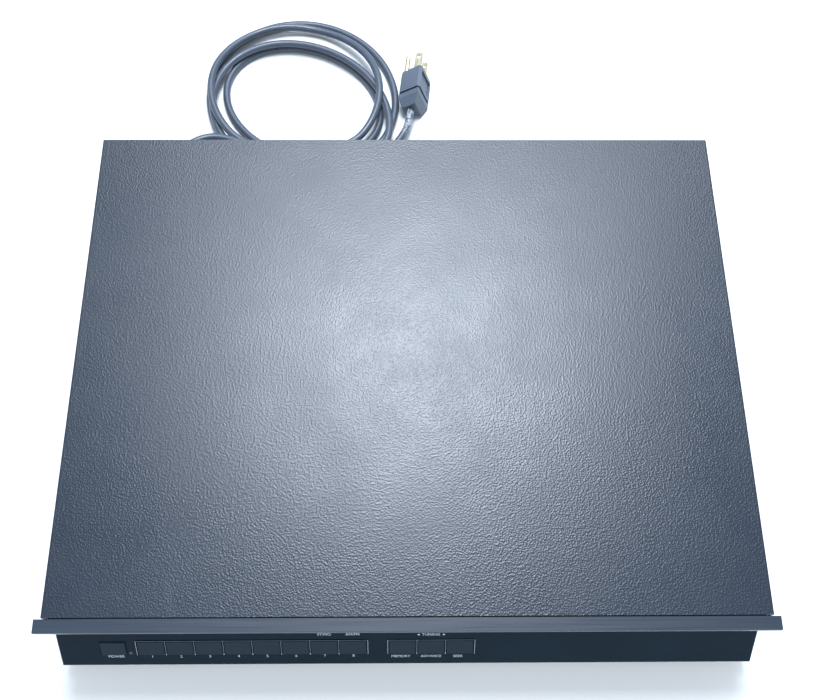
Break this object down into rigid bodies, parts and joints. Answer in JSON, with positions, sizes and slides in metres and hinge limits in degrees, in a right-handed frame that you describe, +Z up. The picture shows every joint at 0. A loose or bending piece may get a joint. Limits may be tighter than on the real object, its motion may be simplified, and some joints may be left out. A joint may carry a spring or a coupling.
{
  "type": "stereo radio tuner",
  "caption": "Slim black hi-fi radio tuner with a visor, a sloping key panel, round feet, rear sockets and a coiled power cord with a moulded plug.",
  "frame": {"origin": "on the surface the tuner stands on, under the middle of the tuner's box without its cord", "axes": "+X to the right seen from the front, +Y from front to back, +Z up; the key panel faces -Y and up"},
  "size_m": [0.432, 0.5173, 0.08],
  "materials": {
    "case_paint": "black textured paint",
    "rear_paint": "black satin paint",
    "zinc_steel": "zinc plated",
    "visor_black": "black anodised, satin",
    "panel_black": "blue-black, smooth",
    "frame_plastic": "moulded, matte",
    "smoked_acrylic": "smoked, polished",
    "display_glass": "clear",
    "board_laminate": "laminate",
    "black_plastic": "moulded",
    "light_lens": "tinted lens",
    "key_plastic": "satin",
    "core_steel": "varnished laminations",
    "winding_tape": "tape",
    "capacitor_sleeve": "shrink sleeve",
    "bare_aluminium": "mill finish",
    "tinned_steel": "tin plated",
    "cable_grey": "vinyl",
    "black_screw": "black oxide",
    "foot_plastic": "moulded",
    "foot_rubber": "rubber",
    "nickel_plate": "nickel plated",
    "terminal_plastic": "moulded",
    "cord_vinyl": "slate grey vinyl",
    "plug_vinyl": "slate grey vinyl",
    "blade_brass": "stamped brass"
  },
  "bodies": {
    "case": {"top_cover": "case_paint", "base_chassis": "zinc_steel", "rear_panel": "rear_paint", "front_frame": "frame_plastic", "visor_bar": "visor_black", "key_panel": "panel_black", "end_cheeks": "frame_plastic", "display_bezel": "panel_black", "display_window": "smoked_acrylic", "display_tube": "display_glass", "display_board": "board_laminate", "key_board": "board_laminate", "key_switches": "black_plastic", "power_light": "light_lens", "power_switch": "black_plastic", "switch_bracket": "zinc_steel", "transformer_core": "core_steel", "transformer_winding": "winding_tape", "fuse_block": "black_plastic", "fuse": "display_glass", "main_board": "board_laminate", "capacitors": "capacitor_sleeve", "heat_sink": "bare_aluminium", "regulator": "black_plastic", "tuner_chips": "black_plastic", "tuned_coils": "tinned_steel", "radio_can": "tinned_steel", "flat_cable": "cable_grey", "cover_screws": "black_screw", "chassis_screws": "zinc_steel", "feet": "foot_plastic", "foot_pads": "foot_rubber", "output_jacks": "nickel_plate", "antenna_socket": "nickel_plate", "antenna_terminals": "terminal_plastic", "terminal_screws": "nickel_plate", "strain_relief": "cord_vinyl", "cord_lead": "cord_vinyl", "cord_coil": "cord_vinyl", "cord_tail": "cord_vinyl", "plug_body": "plug_vinyl", "plug_blades": "blade_brass"},
    "power_button": {"power_key": "key_plastic", "power_link_rod": "zinc_steel", "switch_plunger": "black_plastic"},
    "station_1": {"station_key_1": "key_plastic"},
    "station_2": {"station_key_2": "key_plastic"},
    "station_3": {"station_key_3": "key_plastic"},
    "station_4": {"station_key_4": "key_plastic"},
    "station_5": {"station_key_5": "key_plastic"},
    "station_6": {"station_key_6": "key_plastic"},
    "station_7": {"station_key_7": "key_plastic"},
    "station_8": {"station_key_8": "key_plastic"},
    "memory": {"memory_key": "key_plastic"},
    "advance": {"advance_key": "key_plastic"},
    "seek": {"seek_key": "key_plastic"},
    "stereo_mono": {"stereo_mono_key": "key_plastic"},
    "am_fm": {"am_fm_key": "key_plastic"},
    "tuning_down": {"tuning_down_key": "key_plastic"},
    "tuning_up": {"tuning_up_key": "key_plastic"}
  },
  "joints": [
    {"name": "power_press", "type": "slide", "parent": "case", "child": "power_button", "axis": [0, 1, 0], "range_m": [0, 0.0026], "stiffness_N_per_m": 600},
    {"name": "station_1_press", "type": "slide", "parent": "case", "child": "station_1", "axis": [0, 0.8161, -0.5779], "range_m": [0, 0.0008], "stiffness_N_per_m": 300},
    {"name": "station_2_press", "type": "slide", "parent": "case", "child": "station_2", "axis": [0, 0.8161, -0.5779], "range_m": [0, 0.0008], "stiffness_N_per_m": 300},
    {"name": "station_3_press", "type": "slide", "parent": "case", "child": "station_3", "axis": [0, 0.8161, -0.5779], "range_m": [0, 0.0008], "stiffness_N_per_m": 300},
    {"name": "station_4_press", "type": "slide", "parent": "case", "child": "station_4", "axis": [0, 0.8161, -0.5779], "range_m": [0, 0.0008], "stiffness_N_per_m": 300},
    {"name": "station_5_press", "type": "slide", "parent": "case", "child": "station_5", "axis": [0, 0.8161, -0.5779], "range_m": [0, 0.0008], "stiffness_N_per_m": 300},
    {"name": "station_6_press", "type": "slide", "parent": "case", "child": "station_6", "axis": [0, 0.8161, -0.5779], "range_m": [0, 0.0008], "stiffness_N_per_m": 300},
    {"name": "station_7_press", "type": "slide", "parent": "case", "child": "station_7", "axis": [0, 0.8161, -0.5779], "range_m": [0, 0.0008], "stiffness_N_per_m": 300},
    {"name": "station_8_press", "type": "slide", "parent": "case", "child": "station_8", "axis": [0, 0.8161, -0.5779], "range_m": [0, 0.0008], "stiffness_N_per_m": 300},
    {"name": "memory_press", "type": "slide", "parent": "case", "child": "memory", "axis": [0, 0.8161, -0.5779], "range_m": [0, 0.0008], "stiffness_N_per_m": 300},
    {"name": "advance_press", "type": "slide", "parent": "case", "child": "advance", "axis": [0, 0.8161, -0.5779], "range_m": [0, 0.0008], "stiffness_N_per_m": 300},
    {"name": "seek_press", "type": "slide", "parent": "case", "child": "seek", "axis": [0, 0.8161, -0.5779], "range_m": [0, 0.0008], "stiffness_N_per_m": 300},
    {"name": "stereo_mono_press", "type": "slide", "parent": "case", "child": "stereo_mono", "axis": [0, 0.8161, -0.5779], "range_m": [0, 0.0008], "stiffness_N_per_m": 300},
    {"name": "am_fm_press", "type": "slide", "parent": "case", "child": "am_fm", "axis": [0, 0.8161, -0.5779], "range_m": [0, 0.0008], "stiffness_N_per_m": 300},
    {"name": "tuning_down_press", "type": "slide", "parent": "case", "child": "tuning_down", "axis": [0, 0.8161, -0.5779], "range_m": [0, 0.0008], "stiffness_N_per_m": 300},
    {"name": "tuning_up_press", "type": "slide", "parent": "case", "child": "tuning_up", "axis": [0, 0.8161, -0.5779], "range_m": [0, 0.0008], "stiffness_N_per_m": 300}
  ]
}
